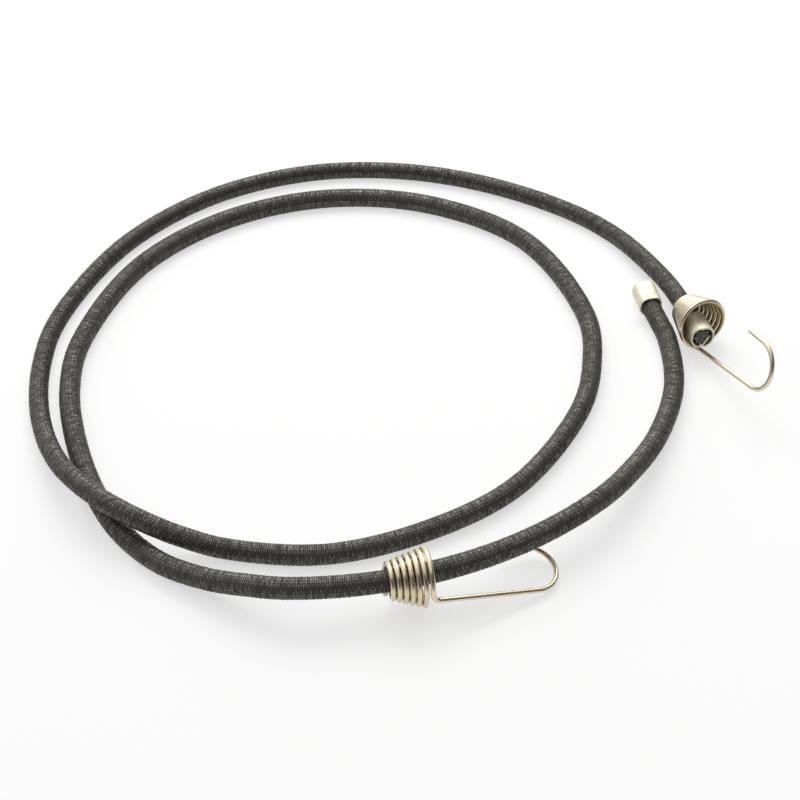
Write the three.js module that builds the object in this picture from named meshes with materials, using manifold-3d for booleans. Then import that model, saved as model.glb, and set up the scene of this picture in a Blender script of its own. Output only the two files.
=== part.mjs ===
import * as THREE from 'three';
import { mergeVertices } from 'three/addons/utils/BufferGeometryUtils.js';
import Module from 'manifold-3d';

// A bungee cord lying in two loose loops: a textile cover over rubber threads, a crimped
// sheet-metal ferrule on each end, and two wire hooks that are threaded on the cord.
// Millimetres, +Z up, origin on the surface under the middle of the whole object.

// Elastic cord
const CORD_DIAMETER = 8;
const COVER_WALL = 1.2;
const THREAD_GAP = 0.24;
const CROSSING_GAP = 0.8;

// Ferrules, each a strip of sheet bent round the cord with both edges turned in
const FERRULE_LENGTH = 12;
const FERRULE_SHEET = 0.75;
const FERRULE_CLEARANCE = 0.35;
const FERRULE_SQUEEZE = 0.1;
const FERRULE_FLOOR_GAP = 0.1;
const SQUEEZE_RUN = 5;
const SEAM_GAP = 0.4;
const EDGE_DEPTH = 1;
const END_RECESS = 0.5;

// Wire hooks, each one wire: a conical coil, a shank, a round bend and a straight tip
const WIRE_DIAMETER = 1.9;
const TURN_GAP = 0.32;
const TURNS = 6.75;
const COIL_CLEARANCE = 0.85;
const MOUTH_DIAMETER = 18.9;
const ROOT_BEND_RADIUS = 3;
const SHANK_LENGTH = 37.6;
const BEND_RADIUS = 9.95;
const BEND_ANGLE = 176;
const TIP_LENGTH = 9.6;

// How each shank leaves its cone, in degrees: the turn at its root and its lean to the axis
const HOOK_A_SHANK = { rootBend: 90, lean: 4 };
const HOOK_B_SHANK = { rootBend: 83, lean: 9 };

// Where the hooks lie: angles in degrees, roll from straight down about the cone's axis
const HOOK_A_PLACE = [123.6, 24.5];
const HOOK_A_TURN = { azimuth: -69.3, elevation: 10.8, roll: -13.7 };
const HOOK_B_HEADING = 11.56;
const HOOK_B_TURN = { azimuth: 10, elevation: -2.8, roll: -85.4 };
const END_A_REACH = 21.4;
const END_A_LEAN_TOWARDS = -40;
const LEAN_CLEARANCE = 0.7;

// The round stretch of cord that hook B slides along
const SLIDE_CENTRE = [-35.4, 30.1];
const SLIDE_RADIUS = 165.1;
const SLIDE_HEADINGS = [0, 8.4, 16.8, 25.2, 33.6, 42];

// Counts of facets
const COVER_SIDES = 12;
const BORE_SIDES = 8;
const THREADS_ACROSS = 4;
const WIRE_SIDES = 6;
const STEPS_PER_TURN = 16;
const BEND_STEPS = 12;
const ROOT_STEPS = 4;
const FERRULE_STEPS = 24;
const LOOP_STEP = 29;
const FINE_STEP = 13;
const MEASURE_STEP = 1;

// Sizes that follow from those above
const CORD_RADIUS = CORD_DIAMETER / 2;
const FLAT_DEPTH = CORD_DIAMETER / 10;
const LYING_HEIGHT = CORD_RADIUS - FLAT_DEPTH;
const BORE_RADIUS = CORD_RADIUS - COVER_WALL;
const CRIMPED_RADIUS = CORD_RADIUS - FERRULE_SQUEEZE;
const FERRULE_INSIDE = CRIMPED_RADIUS + FERRULE_CLEARANCE;
const FERRULE_OUTSIDE = FERRULE_INSIDE + FERRULE_SHEET;
const WIRE_RADIUS = WIRE_DIAMETER / 2;
const COIL_PITCH = WIRE_DIAMETER + TURN_GAP;
const CONE_LENGTH = TURNS * COIL_PITCH;
const NARROW_INSIDE = CORD_RADIUS + COIL_CLEARANCE;
const MOUTH_INSIDE = MOUTH_DIAMETER / 2;
const NARROW_RADIUS = NARROW_INSIDE + WIRE_RADIUS;
const RIM_RADIUS = MOUTH_INSIDE + WIRE_RADIUS;

const wasm = await Module();
wasm.setup();

const radians = THREE.MathUtils.degToRad;
const UP = new THREE.Vector3(0, 0, 1);

// The axes of a hook: along the cone from its narrow end, then from the axis towards the shank
function hookAxes({ azimuth, elevation, roll }) {
  const level = Math.cos(radians(elevation));
  const along = new THREE.Vector3(
    level * Math.cos(radians(azimuth)),
    level * Math.sin(radians(azimuth)),
    Math.sin(radians(elevation)),
  );
  const down = UP.clone().negate().addScaledVector(along, along.z).normalize();
  const shank = down.applyAxisAngle(along, radians(roll));
  return { along, shank, across: along.clone().cross(shank) };
}

// The height of a cone's narrow end when the rim of its mouth stands on the surface
function narrowEndHeight({ elevation }) {
  const rim = (RIM_RADIUS + WIRE_RADIUS) * Math.cos(radians(elevation));
  return rim - CONE_LENGTH * Math.sin(radians(elevation));
}

const axesA = hookAxes(HOOK_A_TURN);
const axesB = hookAxes(HOOK_B_TURN);
const narrowA = new THREE.Vector3(...HOOK_A_PLACE, narrowEndHeight(HOOK_A_TURN));
const slideHeight = narrowEndHeight(HOOK_B_TURN);

function onSlide(heading) {
  return new THREE.Vector3(
    SLIDE_CENTRE[0] + SLIDE_RADIUS * Math.sin(radians(heading)),
    SLIDE_CENTRE[1] - SLIDE_RADIUS * Math.cos(radians(heading)),
    slideHeight,
  );
}

const narrowB = onSlide(HOOK_B_HEADING);

// End A lies in the mouth of hook A, leaning on the inside of the cone
function endADirection() {
  const back = END_A_REACH - FERRULE_LENGTH;
  const wallSlope = (MOUTH_INSIDE - NARROW_INSIDE) / CONE_LENGTH;
  const room = NARROW_INSIDE + wallSlope * back - LEAN_CLEARANCE - FERRULE_OUTSIDE;
  const towards = axesA.shank.clone().applyAxisAngle(axesA.along, radians(END_A_LEAN_TOWARDS));
  return axesA.along.clone().addScaledVector(towards, room / back).normalize();
}

const directionA = endADirection();

function insideA(distance) {
  return narrowA.clone().addScaledVector(directionA, distance);
}

// The cord's route from end A to end B: x, y and how far it is lifted off the surface
const OVER = CORD_DIAMETER + CROSSING_GAP;
const RISE_A = narrowA.z - LYING_HEIGHT;
const RISE_B = slideHeight - LYING_HEIGHT;
const RISE_END = FERRULE_OUTSIDE + FERRULE_FLOOR_GAP - LYING_HEIGHT;
const FAR_AND_NEAR_LOOPS = [
  [116.2, 50.9, 0.55 * RISE_A],
  [95.4, 89.3, 0],
  [54.7, 119.2, 0],
  [8.6, 134.7, 0],
  [-38.7, 134.2, 0],
  [-83.5, 115.3, 0],
  [-119.8, 78.2, 0],
  [-141.9, 25.5, 0],
  [-144.6, -4.3, 0],
  [-140.4, -35.2, 0.05 * OVER],
  [-128.5, -65.7, 0.49 * OVER],
  [-111.1, -88.4, OVER],
  [-93.9, -100.7, OVER],
  [-76.8, -106.2, 0.5 * OVER],
  [-59.1, -109.3, 0.1 * OVER],
  [-23, -110.8, 0],
  [12.3, -99.4, 0],
  [46.4, -76.5, 0],
  [74.1, -34.1, 0],
  [81.8, -4.1, 0],
  [81.6, 27.6, 0],
  [57.7, 81.2, 0],
  [15.4, 108.1, 0],
  [-30.6, 112.7, 0],
  [-75.2, 96.9, 0],
  [-111.4, 61.8, 0],
  [-130.6, 8.3, 0],
  [-130.5, -22, 0],
  [-123.6, -51.2, 0],
  [-113.4, -77.1, 0],
  [-100.6, -98.8, 0],
  [-84.5, -114.7, 0.04 * RISE_B],
  [-66.7, -124.7, 0.28 * RISE_B],
  [-48.4, -131.9, 0.75 * RISE_B],
];
const SIDE_TO_END_B = [
  [88.1, -76.8, 0.76 * RISE_B],
  [103.1, -50.4, 0.23 * RISE_B],
  [113.7, -18.4, 0],
  [114.4, 11.1, 0.12 * RISE_END],
  [112.3, 20.3, 0.55 * RISE_END],
  [109.9, 29.3, RISE_END],
  [107.8, 41.4, RISE_END],
];

function liftedPoint([x, y, lift]) {
  return new THREE.Vector3(x, y, LYING_HEIGHT + lift);
}

// A smooth line through the route's points that never sinks below the lying height
class CordRoute extends THREE.CatmullRomCurve3 {
  getPoint(t, target = new THREE.Vector3()) {
    super.getPoint(t, target);
    target.z = Math.max(target.z, LYING_HEIGHT);
    return target;
  }
}

const route = new CordRoute([
  insideA(END_A_REACH),
  insideA(END_A_REACH - FERRULE_LENGTH),
  insideA(0),
  ...FAR_AND_NEAR_LOOPS.map(liftedPoint),
  ...SLIDE_HEADINGS.map(onSlide),
  ...SIDE_TO_END_B.map(liftedPoint),
]);
route.arcLengthDivisions = 4000;
const CORD_RUN = route.getLength();

// The frame of the cord at a distance from end A: side is level, up is square to the cord
function cordFrame(distance) {
  const share = THREE.MathUtils.clamp(distance / CORD_RUN, 0, 1);
  const along = route.getTangentAt(share);
  const side = UP.clone().cross(along).normalize();
  const over = distance - share * CORD_RUN;
  const origin = route.getPointAt(share).addScaledVector(along, over);
  return { distance, origin, side, up: along.clone().cross(side) };
}

// The distance from end A at which the route comes nearest to a point, after a given distance
function distanceTo(point, after) {
  let best = after;
  let least = Infinity;
  for (let distance = after; distance < CORD_RUN; distance += MEASURE_STEP) {
    const gap = route.getPointAt(distance / CORD_RUN).distanceTo(point);
    if (gap < least) {
      least = gap;
      best = distance;
    }
  }
  return best;
}

function evenSteps(from, to, step) {
  const count = Math.max(1, Math.round((to - from) / step));
  return Array.from({ length: count }, (_, i) => from + ((to - from) * i) / count);
}

// Distances of the cord's rings: close together at the hooks, the crossing and the ferrules
function ringDistances() {
  const leavesA = distanceTo(liftedPoint(FAR_AND_NEAR_LOOPS[0]), 0);
  const climbs = distanceTo(liftedPoint(FAR_AND_NEAR_LOOPS[9]), leavesA);
  const comesDown = distanceTo(liftedPoint(FAR_AND_NEAR_LOOPS[14]), climbs);
  const risesToB = distanceTo(liftedPoint(FAR_AND_NEAR_LOOPS[31]), comesDown);
  const lowAgain = distanceTo(liftedPoint(SIDE_TO_END_B[1]), risesToB);
  const squeezeA = FERRULE_LENGTH + SQUEEZE_RUN;
  const ferruleB = CORD_RUN - FERRULE_LENGTH;
  return [
    END_RECESS,
    FERRULE_LENGTH,
    ...evenSteps(squeezeA, leavesA, FINE_STEP),
    ...evenSteps(leavesA, climbs, LOOP_STEP),
    ...evenSteps(climbs, comesDown, FINE_STEP),
    ...evenSteps(comesDown, risesToB, LOOP_STEP),
    ...evenSteps(risesToB, lowAgain, FINE_STEP),
    ...evenSteps(lowAgain, ferruleB - SQUEEZE_RUN, LOOP_STEP),
    ferruleB - SQUEEZE_RUN,
    ferruleB,
    CORD_RUN - END_RECESS,
  ];
}

const cordFrames = ringDistances().map(cordFrame);

// A regular outline with a flat side underneath
function roundOutline(radius, sides) {
  const first = -Math.PI / 2 + Math.PI / sides;
  return Array.from({ length: sides }, (_, i) => {
    const angle = first + (2 * Math.PI * i) / sides;
    return new THREE.Vector2(radius * Math.cos(angle), radius * Math.sin(angle));
  });
}

// One closed body: an outline carried along a row of frames and capped at both ends
function sweep(frames, outlineAt) {
  const positions = [];
  const outlines = frames.map(outlineAt);
  frames.forEach(({ origin, side, up }, row) => {
    for (const { x, y } of outlines[row]) {
      const point = origin.clone().addScaledVector(side, x).addScaledVector(up, y);
      positions.push(point.x, point.y, point.z);
    }
  });
  const sides = outlines[0].length;
  const triangles = [];
  for (let row = 0; row + 1 < frames.length; row += 1) {
    for (let i = 0; i < sides; i += 1) {
      const a = row * sides + i;
      const b = row * sides + ((i + 1) % sides);
      triangles.push(a, b, a + sides, b, b + sides, a + sides);
    }
  }
  const last = (frames.length - 1) * sides;
  for (const [a, b, c] of THREE.ShapeUtils.triangulateShape(outlines[0], [])) {
    triangles.push(a, c, b, last + a, last + b, last + c);
  }
  const geometry = new THREE.BufferGeometry();
  geometry.setAttribute('position', new THREE.Float32BufferAttribute(positions, 3));
  geometry.setIndex(triangles);
  return geometry;
}

function toSolid(geometry) {
  const bare = geometry.clone();
  bare.deleteAttribute('normal');
  bare.deleteAttribute('uv');
  const merged = mergeVertices(bare);
  return new wasm.Manifold(new wasm.Mesh({
    numProp: 3,
    vertProperties: new Float32Array(merged.attributes.position.array),
    triVerts: new Uint32Array(merged.index.array),
  }));
}

function toGeometry(solid) {
  const { vertProperties, triVerts } = solid.getMesh();
  const geometry = new THREE.BufferGeometry();
  geometry.setAttribute('position', new THREE.Float32BufferAttribute(vertProperties, 3));
  geometry.setIndex(Array.from(triVerts));
  return geometry;
}

function mesh(name, geometry, color, roughness, metalness) {
  geometry.computeVertexNormals();
  const material = new THREE.MeshStandardMaterial({ color, roughness, metalness });
  const part = new THREE.Mesh(geometry, material);
  part.name = name;
  return part;
}

// The least gap between stretches of one tube that lie further apart along it than a given run
function leastGap(points, diameter, apart) {
  const runs = [0];
  for (let i = 1; i < points.length; i += 1) {
    runs.push(runs[i - 1] + points[i].distanceTo(points[i - 1]));
  }
  let least = Infinity;
  for (let i = 0; i < points.length; i += 1) {
    for (let j = i + 1; j < points.length; j += 1) {
      if (runs[j] - runs[i] > apart) {
        least = Math.min(least, points[i].distanceTo(points[j]));
      }
    }
  }
  return least - diameter;
}

function between(points, step) {
  const out = [];
  for (let i = 0; i + 1 < points.length; i += 1) {
    const count = Math.ceil(points[i].distanceTo(points[i + 1]) / step);
    for (let k = 0; k < count; k += 1) {
      out.push(points[i].clone().lerp(points[i + 1], k / count));
    }
  }
  out.push(points[points.length - 1]);
  return out;
}

// Textile cover: a tube squeezed in at both ferrules, flat where it lies on the surface
function coverRadius({ distance }) {
  const fromEnd = Math.min(distance, CORD_RUN - distance);
  const share = THREE.MathUtils.clamp((fromEnd - FERRULE_LENGTH) / SQUEEZE_RUN, 0, 1);
  return CRIMPED_RADIUS + FERRULE_SQUEEZE * share;
}

// The slit at one end of the cover that takes the turned-in edges of the ferrule's seam
function seamSlit(distance) {
  const { origin, side, up } = cordFrame(distance);
  const width = SEAM_GAP + 2 * FERRULE_SHEET + 2 * FERRULE_CLEARANCE;
  const depth = CORD_DIAMETER;
  const length = 2 * (FERRULE_LENGTH + FERRULE_CLEARANCE);
  const top = -(FERRULE_INSIDE - EDGE_DEPTH - FERRULE_CLEARANCE - COVER_WALL / 2);
  const box = new THREE.BoxGeometry(width, depth, length);
  box.translate(0, top - depth / 2, 0);
  box.applyMatrix4(new THREE.Matrix4().makeBasis(side, up, side.clone().cross(up)));
  return toSolid(box.translate(origin.x, origin.y, origin.z));
}

function makeCover() {
  const outside = toSolid(sweep(cordFrames, (frame) => roundOutline(coverRadius(frame), COVER_SIDES)));
  const boreFrames = [cordFrame(-CORD_DIAMETER), ...cordFrames, cordFrame(CORD_RUN + CORD_DIAMETER)];
  const bore = toSolid(sweep(boreFrames, () => roundOutline(BORE_RADIUS, BORE_SIDES)));
  const size = 2 * CORD_RUN;
  const below = toSolid(new THREE.BoxGeometry(size, size, CORD_DIAMETER).translate(0, 0, -CORD_RADIUS));
  const cover = outside.subtract(bore).subtract(below).subtract(seamSlit(0)).subtract(seamSlit(CORD_RUN));
  return mesh('cord_cover', toGeometry(cover), 0x24241f, 0.85, 0);
}

// Rubber threads of square section, side by side in a square block that fills the bore
function makeThreads() {
  const room = BORE_RADIUS * Math.cos(Math.PI / BORE_SIDES) - THREAD_GAP;
  const block = room * Math.SQRT2;
  const thread = (block - THREAD_GAP * (THREADS_ACROSS - 1)) / THREADS_ACROSS;
  const half = thread / 2;
  const threads = [];
  for (let row = 0; row < THREADS_ACROSS; row += 1) {
    for (let column = 0; column < THREADS_ACROSS; column += 1) {
      const x = (column - (THREADS_ACROSS - 1) / 2) * (thread + THREAD_GAP);
      const y = (row - (THREADS_ACROSS - 1) / 2) * (thread + THREAD_GAP);
      const square = [[-half, -half], [half, -half], [half, half], [-half, half]];
      const outline = square.map(([u, v]) => new THREE.Vector2(x + u, y + v));
      const name = `rubber_thread_${threads.length + 1}`;
      threads.push(mesh(name, sweep(cordFrames, () => outline), 0x16161a, 0.6, 0));
    }
  }
  return threads;
}

// A ferrule's section: a strip bent round the cord, open underneath, with both edges turned in
function ferruleOutline() {
  const edge = SEAM_GAP / 2;
  const inner = edge + FERRULE_SHEET;
  const tip = FERRULE_INSIDE - EDGE_DEPTH;
  const arc = (radius, offset) => {
    const half = Math.PI - Math.asin(offset / radius);
    return Array.from({ length: FERRULE_STEPS + 1 }, (_, i) => {
      const angle = Math.PI / 2 - half + (2 * half * i) / FERRULE_STEPS;
      return new THREE.Vector2(radius * Math.cos(angle), radius * Math.sin(angle));
    });
  };
  return [
    ...arc(FERRULE_OUTSIDE, edge),
    new THREE.Vector2(-edge, -tip),
    new THREE.Vector2(-inner, -tip),
    ...arc(FERRULE_INSIDE, inner).reverse(),
    new THREE.Vector2(inner, -tip),
    new THREE.Vector2(edge, -tip),
  ];
}

function makeFerrule(name, from, to) {
  const outline = ferruleOutline();
  const frames = [from, (from + to) / 2, to].map(cordFrame);
  return mesh(name, sweep(frames, () => outline), 0xcfc6ae, 0.3, 1);
}

// The wire's centreline in the hook's own axes: along the cone from its rim, to the shank, across
function wireLine({ rootBend, lean }) {
  const points = [];
  const root = radians(rootBend);
  const leave = -Math.atan2(ROOT_BEND_RADIUS * Math.sin(root), RIM_RADIUS);
  const coilSteps = Math.round(TURNS * STEPS_PER_TURN);
  for (let i = 0; i <= coilSteps; i += 1) {
    const share = i / coilSteps;
    const angle = leave - 2 * Math.PI * TURNS * (1 - share);
    const radius = NARROW_RADIUS + (RIM_RADIUS - NARROW_RADIUS) * share;
    points.push(new THREE.Vector3(
      -CONE_LENGTH * (1 - share),
      radius * Math.cos(angle),
      radius * Math.sin(angle),
    ));
  }
  const outward = new THREE.Vector3(0, Math.cos(leave), Math.sin(leave));
  const onward = new THREE.Vector3(0, -Math.sin(leave), Math.cos(leave));
  const forward = new THREE.Vector3(Math.cos(radians(lean)), 0, 0)
    .addScaledVector(outward, -Math.sin(radians(lean)));
  const rim = points[points.length - 1];
  for (let i = 1; i <= ROOT_STEPS; i += 1) {
    points.push(onBend(rim, onward, forward, ROOT_BEND_RADIUS, root * (i / ROOT_STEPS)));
  }
  const shank = turned(onward, forward, root);
  const shankEnd = points[points.length - 1].clone().addScaledVector(shank, SHANK_LENGTH);
  const inward = new THREE.Vector3(0, -1, 0).addScaledVector(shank, shank.y).normalize();
  const bend = radians(BEND_ANGLE);
  for (let i = 0; i <= BEND_STEPS; i += 1) {
    points.push(onBend(shankEnd, shank, inward, BEND_RADIUS, bend * (i / BEND_STEPS)));
  }
  const tip = turned(shank, inward, bend);
  points.push(points[points.length - 1].clone().addScaledVector(tip, TIP_LENGTH));
  return points;
}

// A direction turned by an angle towards another that is square to it
function turned(direction, towards, angle) {
  return direction.clone().multiplyScalar(Math.cos(angle)).addScaledVector(towards, Math.sin(angle));
}

// A point on a round bend that starts in one direction and turns towards another
function onBend(start, direction, towards, radius, angle) {
  return start.clone()
    .addScaledVector(direction, radius * Math.sin(angle))
    .addScaledVector(towards, radius * (1 - Math.cos(angle)));
}

// Frames along a wire that turn no more than the wire itself does
function wireFrames(points) {
  const directions = points.map((_, i) => {
    const before = points[Math.max(0, i - 1)];
    const after = points[Math.min(points.length - 1, i + 1)];
    return after.clone().sub(before).normalize();
  });
  const turn = new THREE.Quaternion();
  let side = new THREE.Vector3(1, 0, 0);
  return points.map((origin, i) => {
    if (i > 0) {
      turn.setFromUnitVectors(directions[i - 1], directions[i]);
      side.applyQuaternion(turn);
    }
    side = side.clone().addScaledVector(directions[i], -side.dot(directions[i])).normalize();
    return { origin, side, up: directions[i].clone().cross(side) };
  });
}

function makeHook(name, narrowEnd, { along, shank, across }, shankBends) {
  const line = wireLine(shankBends);
  const outline = roundOutline(WIRE_RADIUS, WIRE_SIDES);
  const hook = mesh(name, sweep(wireFrames(line), () => outline), 0xcabfa2, 0.25, 1);
  hook.quaternion.setFromRotationMatrix(new THREE.Matrix4().makeBasis(along, shank, across));
  hook.position.copy(narrowEnd).addScaledVector(along, CONE_LENGTH);
  const gap = leastGap(between(line, MEASURE_STEP), WIRE_DIAMETER, 2 * NARROW_RADIUS);
  console.log(`${name}: least gap between its turns ${gap.toFixed(2)} mm`);
  return hook;
}

const cordLine = between(cordFrames.map(({ origin }) => origin), MEASURE_STEP);
const cordGap = leastGap(cordLine, CORD_DIAMETER, 8 * CORD_DIAMETER);
console.log(`cord_cover: least gap to itself ${cordGap.toFixed(2)} mm, run ${CORD_RUN.toFixed(1)} mm`);

const group = new THREE.Group();
group.add(
  makeCover(),
  ...makeThreads(),
  makeFerrule('ferrule_a', 0, FERRULE_LENGTH),
  makeFerrule('ferrule_b', CORD_RUN - FERRULE_LENGTH, CORD_RUN),
  makeHook('hook_a', narrowA, axesA, HOOK_A_SHANK),
  makeHook('hook_b', narrowB, axesB, HOOK_B_SHANK),
);

export default group;
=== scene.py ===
import math

import bpy
import numpy as np
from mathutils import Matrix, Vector


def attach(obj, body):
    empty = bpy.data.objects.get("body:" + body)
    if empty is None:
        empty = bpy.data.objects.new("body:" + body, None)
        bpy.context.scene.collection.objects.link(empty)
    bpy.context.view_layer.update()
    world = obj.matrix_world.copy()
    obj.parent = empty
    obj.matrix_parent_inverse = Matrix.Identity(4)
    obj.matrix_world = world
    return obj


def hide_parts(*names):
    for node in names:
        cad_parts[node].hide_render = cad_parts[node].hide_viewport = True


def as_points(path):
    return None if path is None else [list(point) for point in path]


bl_info = {
    "name": "Bungee cord",
    "version": (1, 0, 0),
    "blender": (4, 5, 0),
    "location": "View3D > Sidebar > Bungee",
    "description": "Dresses a looped bungee cord with its braid, threads, ferrules and wire hooks",
    "category": "Object",
}

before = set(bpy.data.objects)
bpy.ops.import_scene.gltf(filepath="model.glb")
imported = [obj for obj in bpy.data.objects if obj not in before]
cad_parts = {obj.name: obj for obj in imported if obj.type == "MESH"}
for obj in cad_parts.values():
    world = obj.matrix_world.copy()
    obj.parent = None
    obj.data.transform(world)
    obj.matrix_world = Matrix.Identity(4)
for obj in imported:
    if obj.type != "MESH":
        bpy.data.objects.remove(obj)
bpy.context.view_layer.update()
MM = 0.001
THREAD_NODES = sorted(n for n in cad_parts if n.startswith("rubber_thread"))
UP = np.array([0.0, 0.0, 1.0])

# The cord's route in metres, from the cut end in hook A to the end beside it
LYING_HEIGHT = 0.0032
END_A = [(0.12763, 0.00352, 0.00963), (0.12537, 0.01529, 0.00891), (0.1236, 0.0245, 0.00834)]
LOOPS = [
    (0.1162, 0.0509, 0.00603), (0.0954, 0.0893, 0.0032), (0.0547, 0.1192, 0.0032),
    (0.0086, 0.1347, 0.0032), (-0.0387, 0.1342, 0.0032), (-0.0835, 0.1153, 0.0032),
    (-0.1198, 0.0782, 0.0032), (-0.1419, 0.0255, 0.0032), (-0.1446, -0.0043, 0.0032),
    (-0.1404, -0.0352, 0.00364), (-0.1285, -0.0657, 0.00751), (-0.1111, -0.0884, 0.012),
    (-0.0939, -0.1007, 0.012), (-0.0768, -0.1062, 0.0076), (-0.0591, -0.1093, 0.00408),
    (-0.023, -0.1108, 0.0032), (0.0123, -0.0994, 0.0032), (0.0464, -0.0765, 0.0032),
    (0.0741, -0.0341, 0.0032), (0.0818, -0.0041, 0.0032), (0.0816, 0.0276, 0.0032),
    (0.0577, 0.0812, 0.0032), (0.0154, 0.1081, 0.0032), (-0.0306, 0.1127, 0.0032),
    (-0.0752, 0.0969, 0.0032), (-0.1114, 0.0618, 0.0032), (-0.1306, 0.0083, 0.0032),
    (-0.1305, -0.022, 0.0032), (-0.1236, -0.0512, 0.0032), (-0.1134, -0.0771, 0.0032),
    (-0.1006, -0.0988, 0.0032), (-0.0845, -0.1147, 0.00355), (-0.0667, -0.1247, 0.00568),
    (-0.0484, -0.1319, 0.00985),
]
# The round stretch that hook B slides along, with headings in degrees
SLIDE_CENTRE = (-0.0354, 0.0301)
SLIDE_RADIUS = 0.1651
SLIDE_HEIGHT = 0.01207
SLIDE_HEADINGS = (0, 8.4, 16.8, 25.2, 33.6, 42)
END_B = [
    (0.0881, -0.0768, 0.00994), (0.1031, -0.0504, 0.00524), (0.1137, -0.0184, 0.0032),
    (0.1144, 0.0111, 0.00343), (0.1123, 0.0203, 0.00425), (0.1099, 0.0293, 0.0051),
    (0.1078, 0.0414, 0.0051),
]
# Share of the way along the cord, and its thickness there in metres
THICKNESS = [
    (0, 0.0079), (0.3, 0.0078), (0.5, 0.0081), (0.58, 0.0087), (0.64, 0.0089),
    (0.7, 0.0085), (0.8, 0.0082), (1, 0.0082),
]
# Where each hook lies: narrow end of its cone, azimuth, elevation and roll in degrees, then the
# turn at the shank's root and the shank's lean to the axis
HOOKS = {
    "hook_a": ((0.1236, 0.0245, 0.00834), (-69.3, 10.8, -13.7), (90, 4)),
    "hook_b": ((-0.00231, -0.13165, 0.01207), (10, -2.8, -85.4), (83, 9)),
}
# Place and size in metres of each lamp, and the way to the bright side of the dome
BROAD_SOFTBOX = (-0.05, 0.75, 0.8), (1.0, 0.6)
FRONT_SOFTBOX = (0.06, -0.5, 1.05), (0.3, 0.24)
DOME_AXIS = (-0.35, 0.72, 0.6)
# sRGB colours beside those in the settings
GLINT_TINT = "#fff9ee"
TALC = "#b9b8b4"
# Brown of the painted shade inside the hooks' cones
CONE_SHADE_BROWN = "#978862"
# Name of the mark on points that take painted shade inside a hook's cone
CONE_SHADE_MARK = "painted_cone_shade"
# Points along the straight fold of a ferrule's sheet, and rings of the cover for one of its bore
FOLD_STEPS = 8
BORE_STEP = 16
# Seeds of the random draws
TURN_SEED, RELIEF_SEED, CUT_SEED = 4, 7, 11


def linear(hex_colour):
    """An sRGB hex colour as linear RGBA."""
    parts = [int(hex_colour[i:i + 2], 16) / 255 for i in (1, 3, 5)]
    return [c / 12.92 if c <= 0.04045 else ((c + 0.055) / 1.055) ** 2.4 for c in parts] + [1.0]


def set_inputs(tree, node, inputs):
    """Sets a node's inputs; each is a value or an output socket to link from."""
    for key, value in inputs.items():
        if isinstance(value, bpy.types.NodeSocket):
            tree.links.new(value, node.inputs[key])
        else:
            node.inputs[key].default_value = value


def add_node(tree, kind, inputs=None, **settings):
    """A new node with its settings and inputs."""
    node = tree.nodes.new(kind)
    for key, value in settings.items():
        setattr(node, key, value)
    set_inputs(tree, node, inputs or {})
    return node


class CordSettings(bpy.types.PropertyGroup):
    """Sizes and colours of the elastic cord."""

    row_pitch: bpy.props.FloatProperty(
        name="Yarn row pitch", description="Length of cord that one row of yarn takes",
        default=0.0008, unit="LENGTH", precision=5)
    yarn_relief: bpy.props.FloatProperty(
        name="Yarn relief", description="Height of a yarn above the dip beside it",
        default=0.00017, unit="LENGTH", precision=5)
    sides: bpy.props.IntProperty(
        name="Points around", description="Points round the cover, two for each yarn", default=20)
    bore: bpy.props.FloatProperty(
        name="Bore", description="Inside diameter of the cover", default=0.0057, unit="LENGTH",
        precision=5)
    dark_yarn: bpy.props.StringProperty(
        name="Dark yarn", description="Colour of the yarn in shade, sRGB hex", default="#1a1918")
    pale_yarn: bpy.props.StringProperty(
        name="Pale yarn", description="Colour of the yarn that catches the light, sRGB hex",
        default="#767168")
    thread_size: bpy.props.FloatProperty(
        name="Thread size", description="Side of one square rubber thread", default=0.00062,
        unit="LENGTH", precision=5)
    thread_pitch: bpy.props.FloatProperty(
        name="Thread pitch", description="Distance between neighbouring threads", default=0.00078,
        unit="LENGTH", precision=5)
    rubber: bpy.props.StringProperty(
        name="Rubber", description="Colour of the rubber threads, sRGB hex", default="#66666a")


class FerruleSettings(bpy.types.PropertyGroup):
    """Sizes and colour of the crimped ferrules."""

    length: bpy.props.FloatProperty(
        name="Length", description="Length of a ferrule along the cord", default=0.012,
        unit="LENGTH", precision=4)
    middle_radius: bpy.props.FloatProperty(
        name="Sheet radius", description="Radius at the middle of the bent sheet", default=0.004625,
        unit="LENGTH", precision=5)
    sheet: bpy.props.FloatProperty(
        name="Sheet", description="Thickness of the sheet", default=0.00075, unit="LENGTH",
        precision=5)
    squareness: bpy.props.FloatProperty(
        name="Squareness", description="How square the crimp leaves the upper half; 2 is round",
        default=2.7)
    fold_depth: bpy.props.FloatProperty(
        name="Fold depth", description="Straight run of the edge that is folded deep into the cord",
        default=0.0043, unit="LENGTH", precision=4)
    plating: bpy.props.StringProperty(
        name="Plating", description="Colour of the plated sheet, sRGB hex", default="#f3edd9")


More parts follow.
